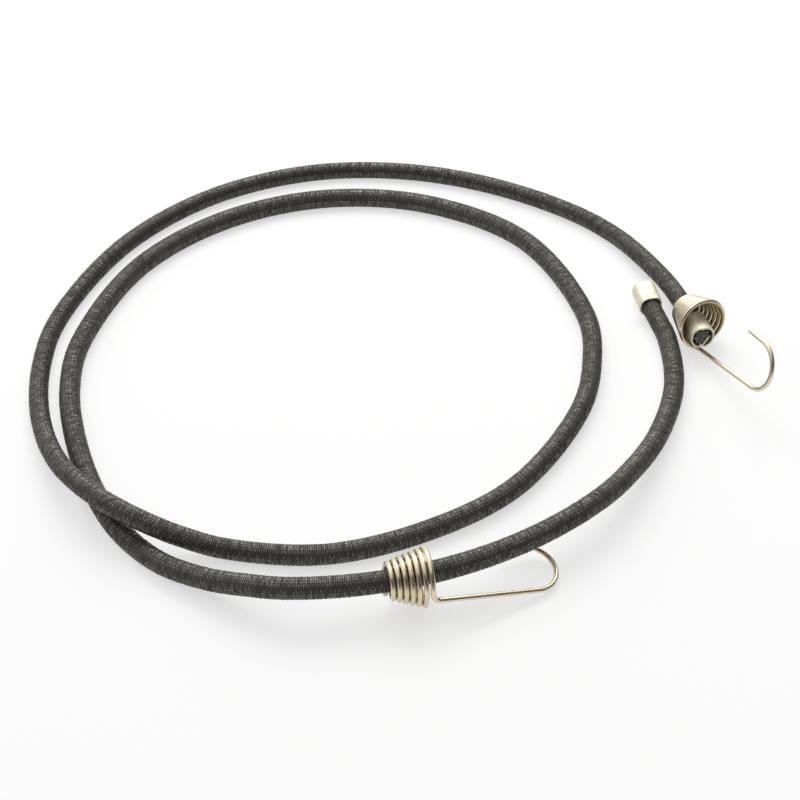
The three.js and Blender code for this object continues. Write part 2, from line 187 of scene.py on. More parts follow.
class HookSettings(bpy.types.PropertyGroup):
    """Sizes and colour of the wire hooks."""

    wire: bpy.props.FloatProperty(
        name="Wire", description="Diameter of the wire", default=0.0019, unit="LENGTH", precision=5)
    pitch: bpy.props.FloatProperty(
        name="Coil pitch", description="Distance between turns along the cone", default=0.00222,
        unit="LENGTH", precision=5)
    turns: bpy.props.FloatProperty(name="Turns", description="Turns of the cone", default=6.75)
    narrow_radius: bpy.props.FloatProperty(
        name="Narrow radius", description="Radius of the wire's middle at the narrow end",
        default=0.0058, unit="LENGTH", precision=5)
    rim_radius: bpy.props.FloatProperty(
        name="Rim radius", description="Radius of the wire's middle at the rim",
        default=0.0104, unit="LENGTH", precision=5)
    root_bend: bpy.props.FloatProperty(
        name="Root bend", description="Radius where the rim turns into the shank", default=0.003,
        unit="LENGTH", precision=4)
    shank: bpy.props.FloatProperty(
        name="Shank", description="Straight length from the root to the bend", default=0.0376,
        unit="LENGTH", precision=4)
    bend_radius: bpy.props.FloatProperty(
        name="Bend radius", description="Radius of the hook's bend", default=0.00995, unit="LENGTH",
        precision=5)
    bend_angle: bpy.props.FloatProperty(
        name="Bend angle", description="How far the wire turns in the bend",
        default=math.radians(176), subtype="ANGLE")
    tip: bpy.props.FloatProperty(
        name="Tip", description="Length of the straight tip", default=0.0096, unit="LENGTH",
        precision=4)
    plating: bpy.props.StringProperty(
        name="Plating", description="Colour of the plated wire, sRGB hex", default="#e8dbc0")


class StageSettings(bpy.types.PropertyGroup):
    """Camera, floor and light."""

    eye: bpy.props.FloatVectorProperty(
        name="Eye", description="Place of the camera", default=(0.0027, -0.5017, 0.4302),
        subtype="TRANSLATION", unit="LENGTH")
    tilt: bpy.props.FloatProperty(
        name="Tilt", description="Camera's turn up from straight down", default=math.radians(48),
        subtype="ANGLE")
    lens: bpy.props.FloatProperty(
        name="Lens", description="Focal length in millimetres on a 36 mm sensor", default=71.64)
    floor: bpy.props.StringProperty(
        name="Floor", description="Colour of the floor, sRGB hex", default="#fbfbfa")
    sky: bpy.props.FloatProperty(
        name="Sky", description="Strength of the dome's bright side", default=1.15)
    dark_sky: bpy.props.FloatProperty(
        name="Dark sky", description="Strength of the dome away from it", default=0.1)
    softbox: bpy.props.FloatProperty(
        name="Softbox", description="Power of the broad softbox behind, in watts", default=7.4)
    front_lamp: bpy.props.FloatProperty(
        name="Front lamp", description="Power of the small softbox in front, in watts", default=0.5)
    backdrop: bpy.props.FloatProperty(
        name="Backdrop", description="Share of plain white in what is seen of the floor",
        default=0.6, subtype="FACTOR")


def smooth_line(points, steps=40):
    """A centripetal Catmull-Rom line through the points, kept at or above the lying height."""
    points = np.asarray(points, float)
    ends = [2 * points[0] - points[1]], [2 * points[-1] - points[-2]]
    p = np.vstack([ends[0], points, ends[1]])
    share = np.linspace(0, 1, steps, endpoint=False)[:, None]
    least = 1e-9
    line = []
    for p0, p1, p2, p3 in zip(p, p[1:], p[2:], p[3:]):
        chords = (p1 - p0, p2 - p1, p3 - p2)
        d0, d1, d2 = (max(np.linalg.norm(chord) ** 0.5, least) for chord in chords)
        t1 = ((p1 - p0) / d0 - (p2 - p0) / (d0 + d1) + (p2 - p1) / d1) * d1
        t2 = ((p2 - p1) / d1 - (p3 - p1) / (d1 + d2) + (p3 - p2) / d2) * d1
        curve = (2 * share**3 - 3 * share**2 + 1) * p1 + (share**3 - 2 * share**2 + share) * t1
        line.append(curve + (3 * share**2 - 2 * share**3) * p2 + (share**3 - share**2) * t2)
    line = np.vstack([*line, points[-1:]])
    line[:, 2] = np.maximum(line[:, 2], LYING_HEIGHT)
    return line


def slide_points():
    """Points on the round stretch of cord that hook B slides along."""
    angles = np.radians(SLIDE_HEADINGS)
    return np.column_stack([
        SLIDE_CENTRE[0] + SLIDE_RADIUS * np.sin(angles),
        SLIDE_CENTRE[1] - SLIDE_RADIUS * np.cos(angles),
        np.full(len(angles), SLIDE_HEIGHT),
    ])


CORD_LINE = smooth_line(np.vstack([END_A, LOOPS, slide_points(), END_B]))
CORD_RUN = np.concatenate([[0], np.cumsum(np.linalg.norm(np.diff(CORD_LINE, axis=0), axis=1))])
CORD_LENGTH = float(CORD_RUN[-1])
# Where each cut end lies along the cord, and the way from it into the cord
CORD_ENDS = ((0.0, 1), (CORD_LENGTH, -1))


def cord_frames(distances):
    """Points on the cord's line and the side and up directions there; side is level."""
    distances = np.asarray(distances, float)

    def at(run):
        return np.column_stack([np.interp(run, CORD_RUN, CORD_LINE[:, i]) for i in range(3)])

    step = 0.6 * MM
    along = at(np.minimum(distances + step, CORD_LENGTH)) - at(np.maximum(distances - step, 0))
    along /= np.linalg.norm(along, axis=1)[:, None]
    side = np.cross(UP, along)
    side /= np.linalg.norm(side, axis=1)[:, None]
    beyond = distances - np.clip(distances, 0, CORD_LENGTH)
    return at(distances) + beyond[:, None] * along, side, np.cross(along, side)


def end_frames():
    """For each cut end: its middle, the way into the cord, and right and up on the cut face."""
    for face, direction in CORD_ENDS:
        middle, side, up = (v[0] for v in cord_frames([face]))
        yield middle, direction * np.cross(side, up), -direction * side, up


def ring_points(frames, angles, reach):
    """A ring of points round the cord at each of its frames."""
    middle, side, up = (v[:, None] for v in frames)
    return middle + reach * (np.cos(angles)[:, None] * side + np.sin(angles)[:, None] * up)


def mesh_piece(name, points, faces, material, smooth=True):
    """A new mesh object at the origin."""
    mesh = bpy.data.meshes.new(name)
    mesh.from_pydata([tuple(p) for p in points], [], faces)
    mesh.materials.append(material)
    mesh.polygons.foreach_set("use_smooth", [smooth] * len(mesh.polygons))
    mesh.validate()
    piece = bpy.data.objects.new(name, mesh)
    bpy.context.scene.collection.objects.link(piece)
    return piece


def piece_points(piece):
    """A piece's points as an array."""
    return np.array([v.co for v in piece.data.vertices])


def paint_cone_shade(piece, shares):
    """Marks each point with how much painted shade it takes inside a hook's cone, from 0 to 1."""
    layer = piece.data.attributes.new(CONE_SHADE_MARK, "FLOAT", "POINT")
    layer.data.foreach_set("value", shares.astype(np.float32))


def ring_faces(rows, count, start=0, flip=False):
    """Quads between neighbouring rings of a tube that has count points in each ring."""
    faces = []
    for row in range(rows - 1):
        for i in range(count):
            a = start + row * count + i
            b = start + row * count + (i + 1) % count
            quad = (a, b, b + count, a + count)
            faces.append(quad[::-1] if flip else quad)
    return faces


def settle(piece):
    """Turns a piece's evaluated mesh into its plain mesh, with no modifier left."""
    graph = bpy.context.evaluated_depsgraph_get()
    mesh = bpy.data.meshes.new_from_object(piece.evaluated_get(graph))
    piece.modifiers.clear()
    piece.data = mesh
    mesh.name = piece.name
    return piece


def line_object(name, points):
    """An object that is only a chain of edges, for a node tree to follow."""
    mesh = bpy.data.meshes.new(name)
    mesh.from_pydata([tuple(p) for p in points], [(i, i + 1) for i in range(len(points) - 1)], [])
    piece = bpy.data.objects.new(name, mesh)
    bpy.context.scene.collection.objects.link(piece)
    return piece


def run_tree(piece, tree, values):
    """Runs a geometry node tree on a piece with its inputs set by identifier."""
    modifier = piece.modifiers.new(tree.name, "NODES")
    modifier.node_group = tree
    for item in tree.interface.items_tree:
        if item.item_type == "SOCKET" and item.in_out == "INPUT" and item.name in values:
            modifier[item.identifier] = values[item.name]
    return settle(piece)


def new_tree(name, inputs):
    """A geometry node tree with a geometry in and out and the named inputs."""
    tree = bpy.data.node_groups.new(name, "GeometryNodeTree")
    tree.interface.new_socket("Geometry", in_out="INPUT", socket_type="NodeSocketGeometry")
    for label, kind in inputs:
        tree.interface.new_socket(label, in_out="INPUT", socket_type=kind)
    tree.interface.new_socket("Geometry", in_out="OUTPUT", socket_type="NodeSocketGeometry")
    return tree, add_node(tree, "NodeGroupInput"), add_node(tree, "NodeGroupOutput")


def finish_tree(tree, given, output, geometry, smooth):
    """Ends a tree in shading, realised instances and the material."""
    shaded = add_node(tree, "GeometryNodeSetShadeSmooth", {
        "Geometry": geometry, "Shade Smooth": smooth})
    real = add_node(tree, "GeometryNodeRealizeInstances", {"Geometry": shaded.outputs[0]})
    dressed = add_node(tree, "GeometryNodeSetMaterial", {
        "Geometry": real.outputs[0], "Material": given.outputs["Material"]})
    tree.links.new(dressed.outputs[0], output.inputs[0])


def wire_tree():
    """A round wire along a chain of edges."""
    tree, given, output = new_tree("bungee_wire", [
        ("Wire Radius", "NodeSocketFloat"), ("Sides", "NodeSocketInt"),
        ("Material", "NodeSocketMaterial")])
    curve = add_node(tree, "GeometryNodeMeshToCurve", {"Mesh": given.outputs["Geometry"]})
    circle = add_node(tree, "GeometryNodeCurvePrimitiveCircle", {
        "Resolution": given.outputs["Sides"], "Radius": given.outputs["Wire Radius"]})
    wire = add_node(tree, "GeometryNodeCurveToMesh", {
        "Curve": curve.outputs[0], "Profile Curve": circle.outputs[0], "Fill Caps": True})
    finish_tree(tree, given, output, wire.outputs[0], True)
    return tree


def thread_tree():
    """A round bundle of square threads along a chain of edges."""
    most_turn = 0.2
    tree, given, output = new_tree("bungee_threads", [
        ("Thread Size", "NodeSocketFloat"), ("Thread Pitch", "NodeSocketFloat"),
        ("Across", "NodeSocketInt"), ("Bundle Radius", "NodeSocketFloat"),
        ("Material", "NodeSocketMaterial")])
    curve = add_node(tree, "GeometryNodeMeshToCurve", {"Mesh": given.outputs["Geometry"]})
    upright = add_node(tree, "GeometryNodeSetCurveNormal", {"Curve": curve.outputs[0]}, mode="Z_UP")
    gaps = add_node(tree, "ShaderNodeMath", {
        0: given.outputs["Across"], 1: 1.0}, operation="SUBTRACT")
    span = add_node(tree, "ShaderNodeMath", {
        0: gaps.outputs[0], 1: given.outputs["Thread Pitch"]}, operation="MULTIPLY")
    grid = add_node(tree, "GeometryNodeMeshGrid", {
        "Size X": span.outputs[0], "Size Y": span.outputs[0],
        "Vertices X": given.outputs["Across"], "Vertices Y": given.outputs["Across"]})
    place = add_node(tree, "GeometryNodeInputPosition")
    reach = add_node(tree, "ShaderNodeVectorMath", {0: place.outputs[0]}, operation="LENGTH")
    outside = add_node(tree, "FunctionNodeCompare", {
        "A": reach.outputs["Value"], "B": given.outputs["Bundle Radius"]},
        data_type="FLOAT", operation="GREATER_THAN")
    bundle = add_node(tree, "GeometryNodeDeleteGeometry", {
        "Geometry": grid.outputs["Mesh"], "Selection": outside.outputs[0]}, domain="POINT")
    square = add_node(tree, "GeometryNodeCurvePrimitiveQuadrilateral", {
        "Width": given.outputs["Thread Size"], "Height": given.outputs["Thread Size"]})
    turn = add_node(tree, "FunctionNodeRandomValue", {
        0: (0.0, 0.0, -most_turn), 1: (0.0, 0.0, most_turn), "Seed": TURN_SEED},
        data_type="FLOAT_VECTOR")
    sections = add_node(tree, "GeometryNodeInstanceOnPoints", {
        "Points": bundle.outputs[0], "Instance": square.outputs[0], "Rotation": turn.outputs[0]})
    profile = add_node(tree, "GeometryNodeRealizeInstances", {"Geometry": sections.outputs[0]})
    threads = add_node(tree, "GeometryNodeCurveToMesh", {
        "Curve": upright.outputs[0], "Profile Curve": profile.outputs[0], "Fill Caps": True})
    finish_tree(tree, given, output, threads.outputs[0], False)
    return tree


def new_material(name):
    """A material with only a Principled shader and its output."""
    material = bpy.data.materials.new(name)
    material.use_nodes = True
    tree = material.node_tree
    shader = next(n for n in tree.nodes if n.type == "BSDF_PRINCIPLED")
    return material, tree, shader


def mix_colours(tree, share, first, second):
    """The output of a mix of two colours; each argument is a value or a socket."""
    # 6 and 7 are the node's colour inputs, and 2 is its colour output
    node = add_node(tree, "ShaderNodeMix", {0: share, 6: first, 7: second}, data_type="RGBA")
    return node.outputs[2]


def braided_polyester(settings):
    """Braided polyester yarn: dark, with filaments that glint one by one."""
    material, tree, shader = new_material("braided_polyester_yarn")
    uv = add_node(tree, "ShaderNodeUVMap", uv_map="yarn")
    waver = add_node(tree, "ShaderNodeTexNoise", {
        "Vector": uv.outputs[0], "Scale": 0.35, "Detail": 1.0})
    # One brick is one float of yarn in millimetres; the joints are the gaps between floats, painted
    # dark as shade
    width, height = 2.5, 0.8
    metric = add_node(tree, "ShaderNodeMapping", {
        "Vector": uv.outputs[0], "Location": (width / 2, 0, 0), "Scale": (width, height, 1.0)})
    yarn = add_node(tree, "ShaderNodeTexBrick", {
        "Vector": metric.outputs[0], "Color1": (0.2, 0.2, 0.2, 1), "Color2": (1, 1, 1, 1),
        "Mortar": (0, 0, 0, 1), "Scale": 1.0, "Mortar Size": 0.2, "Mortar Smooth": 0.5,
        "Bias": -0.1, "Brick Width": width, "Row Height": height}, offset=0.5, offset_frequency=2)
    glint = add_node(tree, "ShaderNodeMapRange", {
        "Value": yarn.outputs["Color"], "From Min": 0.05, "From Max": 0.9})
    patch = add_node(tree, "ShaderNodeMath", {
        0: glint.outputs[0], 1: waver.outputs[0]}, operation="MULTIPLY")
    # Painted shade and glints: the dark colour fills the gaps and dim floats, the pale colour
    # brightens random floats as painted glints
    tint = mix_colours(
        tree, patch.outputs[0], linear(settings.dark_yarn), linear(settings.pale_yarn))
    # The floats are smooth, and the gaps between them dull
    rough = add_node(tree, "ShaderNodeMapRange", {
        "Value": glint.outputs[0], "From Max": 0.7, "To Min": 0.95, "To Max": 0.2})
    # Filaments run along the yarn, so the bump is stretched round the cord
    filaments = add_node(tree, "ShaderNodeMapping", {
        "Vector": uv.outputs[0], "Scale": (0.6, 5.0, 1.0)})
    fibre = add_node(tree, "ShaderNodeTexNoise", {
        "Vector": filaments.outputs[0], "Scale": 1.0, "Detail": 2.0})
    bump = add_node(tree, "ShaderNodeBump", {
        "Height": fibre.outputs[0], "Strength": 0.3, "Distance": 0.06 * MM})
    set_inputs(tree, shader, {
        "Base Color": tint, "Roughness": rough.outputs[0], "Normal": bump.outputs[0],
        "IOR": 1.55, "Specular IOR Level": 1.0, "Specular Tint": linear(GLINT_TINT)})
    return material


def cut_rubber(settings):
    """Cut natural rubber: dark grey, matt, dusted with talc in specks."""
    material, tree, shader = new_material("cut_natural_rubber")
    place = add_node(tree, "ShaderNodeTexCoord")
    # Talc specks of about a quarter of a millimetre
    talc = add_node(tree, "ShaderNodeTexNoise", {
        "Vector": place.outputs["Object"], "Scale": 4000.0, "Detail": 2.0})
    specks = add_node(tree, "ShaderNodeMapRange", {
        "Value": talc.outputs[0], "From Min": 0.5, "From Max": 0.66})
    tint = mix_colours(tree, specks.outputs[0], linear(settings.rubber), linear(TALC))
    bump = add_node(tree, "ShaderNodeBump", {
        "Height": talc.outputs[0], "Strength": 0.4, "Distance": 0.1 * MM})
    set_inputs(tree, shader, {
        "Base Color": tint, "Normal": bump.outputs[0], "Roughness": 0.5, "IOR": 1.52})
    return material


def nickel_plate(name, colour, roughness, mark_scale):
    """Nickel plate on steel: warm and satin, with faint draw marks and dulled patches."""
    material, tree, shader = new_material(name)
    place = add_node(tree, "ShaderNodeTexCoord")
    # Dulled patches of about 4 mm are rougher and a little darker
    smoother, rougher, shade = 0.75, 1.35, 0.86
    patches = add_node(tree, "ShaderNodeTexNoise", {
        "Vector": place.outputs["Object"], "Scale": 250.0, "Detail": 3.0})
    rough = add_node(tree, "ShaderNodeMapRange", {
        "Value": patches.outputs[0], "From Min": 0.3, "From Max": 0.7,
        "To Min": roughness * smoother, "To Max": roughness * rougher})
    bright = linear(colour)
    dull = [c * shade for c in bright[:3]] + [1.0]
    tint = mix_colours(tree, patches.outputs[0], bright, dull)
    # Painted shade: marked points inside a hook's cone turn brown; a piece without the mark has
    # none
    cone_shade = add_node(tree, "ShaderNodeAttribute", attribute_name=CONE_SHADE_MARK)
    shaded_tint = mix_colours(tree, cone_shade.outputs["Fac"], tint, linear(CONE_SHADE_BROWN))
    marks = add_node(tree, "ShaderNodeTexNoise", {
        "Vector": place.outputs["Object"], "Scale": mark_scale, "Detail": 2.0})
    bump = add_node(tree, "ShaderNodeBump", {
        "Height": marks.outputs[0], "Strength": 0.12, "Distance": 0.1 * MM})
    set_inputs(tree, shader, {
        "Base Color": shaded_tint, "Roughness": rough.outputs[0], "Normal": bump.outputs[0],
        "Metallic": 1.0})
    return material


def white_paper(settings):
    """Matt white paper: takes the soft shadow, and is seen partly as plain white."""
    material, tree, shader = new_material("matt_white_paper")
    set_inputs(tree, shader, {
        "Base Color": linear(settings.floor), "Roughness": 0.9, "Specular IOR Level": 0.1})
    path = add_node(tree, "ShaderNodeLightPath")
    mirrored = add_node(tree, "ShaderNodeMath", {
        0: path.outputs["Is Glossy Ray"], 1: path.outputs["Is Transmission Ray"]},
        operation="MAXIMUM")
    seen = add_node(tree, "ShaderNodeMath", {
        0: path.outputs["Is Camera Ray"], 1: mirrored.outputs[0]}, operation="MAXIMUM")
    share = add_node(tree, "ShaderNodeMath", {
        0: seen.outputs[0], 1: settings.backdrop}, operation="MULTIPLY")
    white = add_node(tree, "ShaderNodeEmission", {"Color": (1, 1, 1, 1), "Strength": 1.0})
    mixed = add_node(tree, "ShaderNodeMixShader", {
        0: share.outputs[0], 1: shader.outputs[0], 2: white.outputs[0]})
    output = next(n for n in tree.nodes if n.type == "OUTPUT_MATERIAL")
    tree.links.new(mixed.outputs[0], output.inputs["Surface"])
    return material


def strip_path(settings):
    """The middle of a ferrule's sheet across the cord, as right and up: edge, band, deep fold."""
    radius = settings.middle_radius
    curl, short_edge = 0.7 * MM, 0.5 * MM
    leave, turn = math.radians(-72), math.radians(137)
    curl_steps, band_steps = 12, 66

    def way(angle):
        return np.array([math.cos(angle), math.sin(angle)])

    def fold(run):
        heading = leave - math.pi / 2
        centre = radius * way(leave) + curl * way(heading - math.pi / 2)
        angles = heading + math.pi / 2 - np.linspace(0, turn, curl_steps)
        bend = centre + curl * np.column_stack([np.cos(angles), np.sin(angles)])
        straight = np.linspace(0, run, FOLD_STEPS)[1:, None] * way(heading - turn)
        return np.vstack([bend, bend[-1] + straight])

    deep = fold(settings.fold_depth)
    short = fold(short_edge) * [-1, 1]
    angles = np.linspace(math.pi - leave, leave, band_steps)[1:-1]
    circle = np.column_stack([np.cos(angles), np.sin(angles)])
    # The crimp presses the upper half a little square
    power = settings.squareness
    square = (np.abs(circle) ** power).sum(axis=1) ** (-1 / power)
    band = radius * circle * np.where(circle[:, 1] > 0, square, 1.0)[:, None]
    return np.vstack([short[::-1], band, deep])


def strip_outline(path, half):
    """The closed outline of a strip with that half thickness round its middle path."""
    along = np.gradient(path, axis=0)
    along /= np.linalg.norm(along, axis=1)[:, None]
    normal = np.column_stack([-along[:, 1], along[:, 0]])
    return np.vstack([path + half * normal, (path - half * normal)[::-1]])


def ferrule_mesh(settings, start, direction):
    """Points and faces of a ferrule; direction is 1 where the cord runs on from its cut face."""
    path = strip_path(settings)
    half = settings.sheet / 2
    edge = 0.18 * MM
    edge_steps, body_steps = 5, 9
    # Stations along the ferrule, and how much thinner the sheet is there on either side
    rounding = [
        (edge * (1 - math.cos(a)), edge * (1 - math.sin(a)))
        for a in np.linspace(0, math.pi / 2, edge_steps)]
    runs = np.linspace(edge, settings.length - edge, body_steps)[1:-1]
    stations = rounding + [(run, 0.0) for run in runs]
    stations += [(settings.length - run, inset) for run, inset in reversed(rounding)]
    points = []
    for run, inset in stations:
        middle, side, up = (v[0] for v in cord_frames([start + direction * run]))
        right = -direction * side
        points.extend(middle + x * right + y * up for x, y in strip_outline(path, half - inset))
    count = len(path) * 2
    faces = ring_faces(len(stations), count)
    last = len(points) - count
    for i in range(len(path) - 1):
        cap = (i, i + 1, count - 2 - i, count - 1 - i)
        faces += [cap[::-1], tuple(last + k for k in cap)]
    return points, faces


def hook_axes(azimuth, elevation, roll):
    """A hook's axes: along its cone, from the axis to the shank, and across both."""
    azimuth, elevation, roll = (math.radians(a) for a in (azimuth, elevation, roll))
    level = math.cos(elevation)
    along = np.array([level * math.cos(azimuth), level * math.sin(azimuth), math.sin(elevation)])
    down = along[2] * along - UP
    down /= np.linalg.norm(down)
    shank = math.cos(roll) * down + math.sin(roll) * np.cross(along, down)
    return np.array([along, shank, np.cross(along, shank)])


def on_bend(start, direction, towards, radius, angles):
    """Points on a round bend that starts in one direction and turns towards another."""
    angles = np.asarray(angles)[:, None]
    return start + radius * (np.sin(angles) * direction + (1 - np.cos(angles)) * towards)


def wire_line(settings, root_turn, lean):
    """The wire's middle line in the hook's own axes, with the rim of the cone at zero."""
    # Points in one turn of the coil, and in each stretch after it
    turn_steps, root_steps, shank_steps, bend_steps, tip_steps = 56, 14, 12, 48, 6
    root_turn, lean = math.radians(root_turn), math.radians(lean)
    cone = settings.turns * settings.pitch
    leave = -math.atan2(settings.root_bend * math.sin(root_turn), settings.rim_radius)
    share = np.linspace(0, 1, int(settings.turns * turn_steps))
    angle = leave - 2 * math.pi * settings.turns * (1 - share)
    radius = settings.narrow_radius + (settings.rim_radius - settings.narrow_radius) * share
    coil = np.column_stack([-cone * (1 - share), radius * np.cos(angle), radius * np.sin(angle)])
    outward = np.array([0, math.cos(leave), math.sin(leave)])
    onward = np.array([0, -math.sin(leave), math.cos(leave)])
    forward = np.array([math.cos(lean), 0, 0]) - math.sin(lean) * outward
    angles = np.linspace(0, root_turn, root_steps)[1:]
    root = on_bend(coil[-1], onward, forward, settings.root_bend, angles)
    along = math.cos(root_turn) * onward + math.sin(root_turn) * forward
    shank = root[-1] + np.linspace(0, settings.shank, shank_steps)[1:, None] * along
    inward = along[1] * along - np.array([0, 1, 0])
    inward /= np.linalg.norm(inward)
    turn = settings.bend_angle
    angles = np.linspace(0, turn, bend_steps)[1:]
    bend = on_bend(shank[-1], along, inward, settings.bend_radius, angles)
    onto = math.cos(turn) * along + math.sin(turn) * inward
    tip = bend[-1] + np.linspace(0, settings.tip, tip_steps)[1:, None] * onto
    return np.vstack([coil, root, shank, bend, tip])


def clear_of_folds(points, settings, ferrule):
    """Moves thread points at both ends aside, so that they lie beside a ferrule's deep fold."""
    path = strip_path(ferrule)
    start, end = path[-FOLD_STEPS], path[-1]
    fold = np.linalg.norm(end - start)
    along = (end - start) / fold
    across = np.array([-along[1], along[0]])
    # Half the sheet, and a thread that may lie on its corner
    room = ferrule.sheet / 2 + settings.thread_size * 0.75
    outside, fade_run, reach = -2 * MM, 6 * MM, 6 * MM
    last = ferrule.length + fade_run
    moved = np.array(points)
    for middle, onward, right, up in end_frames():
        offset = moved - middle
        depth = offset @ onward
        flat = np.column_stack([offset @ right, offset @ up])
        run, away = (flat - start) @ along, (flat - start) @ across
        fade = np.clip((last - depth) / fade_run, 0, 1)
        near = (depth > outside) & (depth < last) & (np.hypot(*flat.T) < reach)
        beside = np.clip((fold + room - run) / room, 0, 1)
        push = np.where(near, np.clip(room - np.abs(away), 0, None) * fade * beside, 0)
        shift = (np.where(away < 0, -1, 1) * push)[:, None] * across
        moved += shift[:, :1] * right + shift[:, 1:] * up
    return moved


def fray_ends(points, inset):
    """Spreads the threads where the cover stops short of the cut, and cuts them unevenly."""
    spread, spread_depth, spread_run = 0.42, 4.5 * MM, 3.5 * MM
    end_depth, end_reach = 8 * MM, 9 * MM
    cut_depth, uneven = inset + 0.3 * MM, 0.5 * MM
    moved = np.array(points)
    chance = np.random.default_rng(CUT_SEED)
    for middle, onward, _, _ in end_frames():
        offset = moved - middle
        depth = offset @ onward
        near = (depth < end_depth) & (np.linalg.norm(offset, axis=1) < end_reach)
        share = np.where(near, np.clip((spread_depth - depth) / spread_run, 0, 1), 0)
        flat = offset - depth[:, None] * onward
        moved += spread * share[:, None] * flat
        cut = near & (depth < cut_depth)
        moved[cut] += chance.uniform(0, uneven, (int(cut.sum()), 1)) * onward
    return moved


class BUNGEE_OT_stage(bpy.types.Operator):
    """Sets the camera, the pale floor and the soft light."""

    bl_idname = "bungee.stage"
    bl_label = "Stage"

    def execute(self, context):
        settings = context.scene.bungee_stage
        scene = context.scene
        scene.view_settings.view_transform = "Standard"
        lens = bpy.data.cameras.new("camera")
        lens.sensor_width = 36
        lens.lens = settings.lens
        lens.clip_start = 0.01
        camera = bpy.data.objects.new("camera", lens)
        camera.location = settings.eye
        camera.rotation_euler = (settings.tilt, 0, 0)
        scene.collection.objects.link(camera)
        scene.camera = camera
        reach = 60.0
        corners = [(-reach, -reach, 0), (reach, -reach, 0), (reach, reach, 0), (-reach, reach, 0)]
        floor = mesh_piece("floor", corners, [(0, 1, 2, 3)], white_paper(settings))
        self.light(scene, settings)
        return {"FINISHED"}

    def softbox(self, scene, name, place, size, power):
        """Adds a softbox that faces the middle of the floor."""
        lamp = bpy.data.lights.new(name, "AREA")
        lamp.shape = "RECTANGLE"
        lamp.size, lamp.size_y = size
        lamp.energy = power
        piece = bpy.data.objects.new(name, lamp)
        piece.location = place
        piece.rotation_euler = (-Vector(place)).to_track_quat("-Z", "Y").to_euler()
        scene.collection.objects.link(piece)

    def light(self, scene, settings):
        """Adds the two softboxes and the dome."""
        self.softbox(scene, "broad_softbox", *BROAD_SOFTBOX, settings.softbox)
        self.softbox(scene, "front_softbox", *FRONT_SOFTBOX, settings.front_lamp)
        world = bpy.data.worlds.new("studio_dome")
        scene.world = world
        world.use_nodes = True
        tree = world.node_tree
        background = next(n for n in tree.nodes if n.type == "BACKGROUND")
        place = add_node(tree, "ShaderNodeTexCoord")
        # A pale ceiling and walls behind and to the left, and a dark room low in front
        facing = add_node(tree, "ShaderNodeVectorMath", {
            0: place.outputs["Generated"], 1: DOME_AXIS}, operation="DOT_PRODUCT")
        glow = add_node(tree, "ShaderNodeMapRange", {
            "Value": facing.outputs["Value"], "From Min": 0.2, "From Max": 0.7,
            "To Min": settings.dark_sky, "To Max": settings.sky})
        set_inputs(tree, background, {"Strength": glow.outputs[0], "Color": (1, 1, 1, 1)})


class BUNGEE_OT_ferrules(bpy.types.Operator):
    """Makes the two crimped ferrules."""

    bl_idname = "bungee.ferrules"
    bl_label = "Ferrules"

    def execute(self, context):
        settings = context.scene.bungee_ferrule
        # Rolled sheet: marks of about 0.3 mm
        material = nickel_plate(
            "nickel_plated_sheet", settings.plating, roughness=0.6, mark_scale=3000.0)
        for name, (start, direction) in zip(("ferrule_a", "ferrule_b"), CORD_ENDS):
            points, faces = ferrule_mesh(settings, start, direction)
            piece = mesh_piece(f"crimped_{name}", points, faces, material)
            if name == "ferrule_a":
                self.paint_shade_in_cone(piece)
            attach(piece, "cord")
            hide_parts(name)
        return {"FINISHED"}

    def paint_shade_in_cone(self, piece):
        """Paints shade on the part of a ferrule that lies deep in the hook's cone, from 0 at its
        cut face.
        """
        most, first, fade_run = 0.6, 5 * MM, 4 * MM
        depth = np.linalg.norm(piece_points(piece) - CORD_LINE[0], axis=1)
        paint_cone_shade(piece, most * np.clip((depth - first) / fade_run, 0, 1))


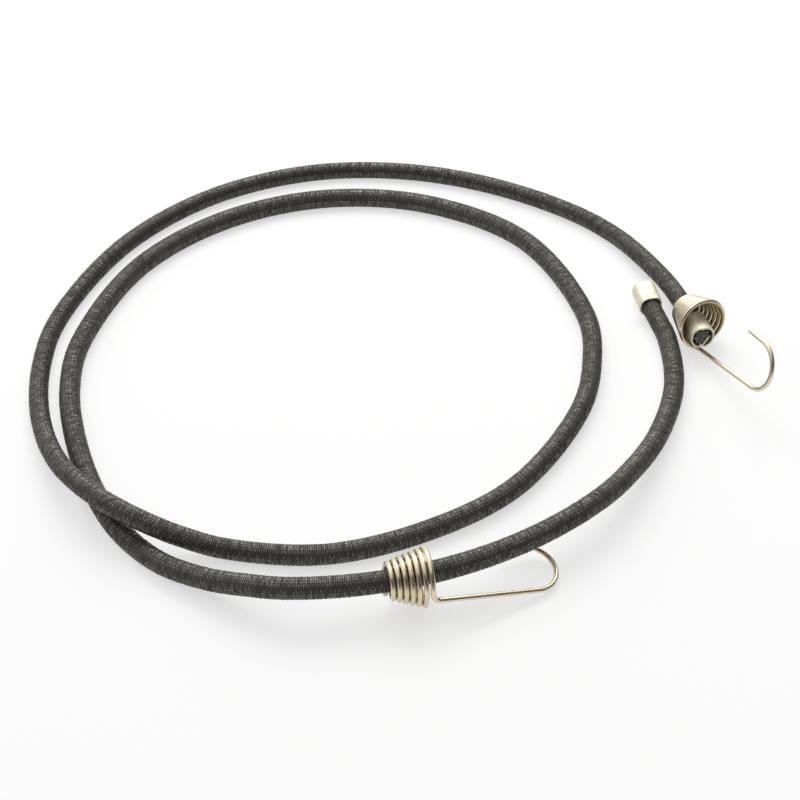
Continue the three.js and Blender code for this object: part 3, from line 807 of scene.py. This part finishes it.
class BUNGEE_OT_cover(bpy.types.Operator):
    bl_idname = "bungee.cover"
    bl_label = "Braided cover"

    def execute(self, context):
        settings = context.scene.bungee_cord
        ferrule = context.scene.bungee_ferrule
        recess, floor_gap = 2.5 * MM, 0.02 * MM
        rows = round((CORD_LENGTH - 2 * recess) / settings.row_pitch)
        count = settings.sides
        # The rings are the dips between the rows and the crest of each row
        runs = np.linspace(recess, CORD_LENGTH - recess, 2 * rows + 1)
        frames = cord_frames(runs)
        angles = 2 * np.pi * np.arange(count) / count - np.pi / 2
        reach = self.radius(runs, settings, ferrule)[:, None] + self.relief(rows, settings)
        points = ring_points(frames, angles, reach[:, :, None])
        points[:, :, 2] = np.maximum(points[:, :, 2], floor_gap)
        inner_runs = np.append(runs[:-1:BORE_STEP], runs[-1])
        bore = ring_points(cord_frames(inner_runs), angles, settings.bore / 2)
        first = len(runs) * count
        faces = ring_faces(len(runs), count)
        faces += ring_faces(len(inner_runs), count, first, flip=True)
        last, inner_last = first - count, first + (len(inner_runs) - 1) * count
        for i in range(count):
            j = (i + 1) % count
            faces.append((j, i, first + i, first + j))
            faces.append((last + i, last + j, inner_last + j, inner_last + i))
        everything = np.vstack([points.reshape(-1, 3), bore.reshape(-1, 3)])
        material = braided_polyester(settings)
        piece = mesh_piece("braided_cover", everything, faces, material, smooth=False)
        self.unwrap(piece, len(runs), count)
        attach(piece, "cord")
        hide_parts("cord_cover")
        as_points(frames[0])
        return {"FINISHED"}

    def radius(self, runs, settings, ferrule):
        """The cover's radius at each ring, squeezed in the ferrules and growing beyond them."""
        clearance, grow_run = 0.1 * MM, 7 * MM
        shares, widths = zip(*THICKNESS)
        base = np.interp(runs / CORD_LENGTH, shares, widths) / 2 - settings.yarn_relief / 4
        inside = ferrule.middle_radius - ferrule.sheet / 2
        squeezed = inside - clearance - settings.yarn_relief / 2
        from_end = np.minimum(runs, CORD_LENGTH - runs)
        share = np.clip((from_end - ferrule.length) / grow_run, 0, 1)
        share = share * share * (3 - 2 * share)
        return np.minimum(base, squeezed + (base - squeezed) * share)

    def relief(self, rows, settings):
        """Heights of the yarns: a high point in the middle of each float, dips around it."""
        count = settings.sides
        half = settings.yarn_relief / 2
        beside, scatter = -0.1 * half, 0.45 * half
        rings = np.full((2 * rows + 1, count), -half)
        chance = np.random.default_rng(RELIEF_SEED)
        for row in range(rows):
            crest = np.where((np.arange(count) + row) % 2 == 0, half, beside)
            rings[2 * row + 1] = crest + chance.normal(0, scatter, count)
        return rings

    def unwrap(self, piece, rings, count):
        """A map in yarns: across one for each float, along one for each row."""
        layer = piece.data.uv_layers.new(name="yarn")
        loops = np.zeros(len(piece.data.loops), np.int32)
        piece.data.loops.foreach_get("vertex_index", loops)
        ring, i = np.divmod(loops, count)
        across = (i + 1) / 2
        # Every face has four corners; one that closes a ring stays beside its first corner
        first = np.arange(len(loops)) // 4 * 4
        wraps = i - i[first]
        across = np.where(wraps > count / 2, across - count / 2, across)
        across = np.where(wraps < -count / 2, across + count / 2, across)
        along = np.where(ring < rings, ring / 2, (ring - rings) * BORE_STEP / 2)
        layer.data.foreach_set("uv", np.column_stack([across, along]).astype(np.float32).ravel())


class BUNGEE_OT_threads(bpy.types.Operator):
    """Makes the bundle of rubber threads inside the cover."""

    bl_idname = "bungee.threads"
    bl_label = "Rubber threads"

    def execute(self, context):
        settings = context.scene.bungee_cord
        across, bundle_radius = 7, 3.05 * settings.thread_pitch
        # The points lie closer together near the cut ends, where the threads spread
        inset, spacing, end, end_steps = 0.35 * MM, 6 * MM, 12 * MM, 9
        near = np.linspace(0, end, end_steps)[:-1]
        middle = np.linspace(end, CORD_LENGTH - end, round(CORD_LENGTH / spacing))
        runs = np.concatenate([inset + near, middle, CORD_LENGTH - inset - near[::-1]])
        route, _, _ = cord_frames(runs)
        piece = line_object("rubber_threads", route)
        run_tree(piece, thread_tree(), {
            "Thread Size": settings.thread_size, "Thread Pitch": settings.thread_pitch,
            "Across": across, "Bundle Radius": bundle_radius, "Material": cut_rubber(settings)})
        frayed = fray_ends(piece_points(piece), inset)
        moved = clear_of_folds(frayed, settings, context.scene.bungee_ferrule)
        piece.data.vertices.foreach_set("co", moved.astype(np.float32).ravel())
        piece.data.update()
        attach(piece, "cord")
        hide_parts(*THREAD_NODES)
        return {"FINISHED"}


class BUNGEE_OT_hooks(bpy.types.Operator):
    """Makes the two wire hooks."""

    bl_idname = "bungee.hooks"
    bl_label = "Wire hooks"

    def execute(self, context):
        settings = context.scene.bungee_hook
        # Drawn wire: marks of about 0.4 mm
        material = nickel_plate(
            "nickel_plated_spring_wire", settings.plating, roughness=0.3, mark_scale=2500.0)
        tree, sides = wire_tree(), 18
        cone = settings.turns * settings.pitch
        for name, (narrow, turn, shank) in HOOKS.items():
            axes = hook_axes(*turn)
            rim = np.array(narrow) + cone * axes[0]
            piece = line_object(f"wire_{name}", rim + wire_line(settings, *shank) @ axes)
            run_tree(piece, tree, {
                "Wire Radius": settings.wire / 2, "Sides": sides, "Material": material})
            self.paint_shade_inside_coil(piece, settings, rim, axes)
            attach(piece, name)
            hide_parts(name)
        return {"FINISHED"}

    def paint_shade_inside_coil(self, piece, settings, rim, axes):
        """Paints shade on the side of the coil's wire that faces the cone's axis, from 0 to 1."""
        past_middle, before_coil = 0.2, -1.1
        half = settings.wire / 2
        along, out, across = ((piece_points(piece) - rim) @ axes.T).T
        share = along / (settings.turns * settings.pitch)
        middle = settings.rim_radius + (settings.rim_radius - settings.narrow_radius) * share
        inner = np.clip((middle - np.hypot(out, across)) / half + past_middle, 0, 1)
        inner[(share < before_coil) | (along > half)] = 0
        paint_cone_shade(piece, inner)


OPERATORS = (
    BUNGEE_OT_stage, BUNGEE_OT_ferrules, BUNGEE_OT_cover, BUNGEE_OT_threads, BUNGEE_OT_hooks,
)
SETTINGS = {
    "bungee_cord": CordSettings, "bungee_ferrule": FerruleSettings, "bungee_hook": HookSettings,
    "bungee_stage": StageSettings,
}


class BUNGEE_PT_panel(bpy.types.Panel):
    """Lists the pieces and their sizes."""

    bl_label = "Bungee cord"
    bl_idname = "BUNGEE_PT_panel"
    bl_space_type = "VIEW_3D"
    bl_region_type = "UI"
    bl_category = "Bungee"

    def draw(self, context):
        for operator in OPERATORS:
            self.layout.operator(operator.bl_idname)
        for name, group in SETTINGS.items():
            box = self.layout.box()
            for label in group.__annotations__:
                box.prop(getattr(context.scene, name), label)


def register():
    """Registers the settings, the operators and the panel."""
    for name, group in SETTINGS.items():
        bpy.utils.register_class(group)
        setattr(bpy.types.Scene, name, bpy.props.PointerProperty(type=group))
    for item in (*OPERATORS, BUNGEE_PT_panel):
        bpy.utils.register_class(item)


def unregister():
    """Takes away what register added."""
    for item in (BUNGEE_PT_panel, *reversed(OPERATORS)):
        bpy.utils.unregister_class(item)
    for name, group in SETTINGS.items():
        delattr(bpy.types.Scene, name)
        bpy.utils.unregister_class(group)


def main():
    """Makes the stage and every piece."""
    register()
    bpy.ops.bungee.stage()
    bpy.ops.bungee.ferrules()
    bpy.ops.bungee.cover()
    bpy.ops.bungee.threads()
    bpy.ops.bungee.hooks()


if __name__ == "__main__":
    main()
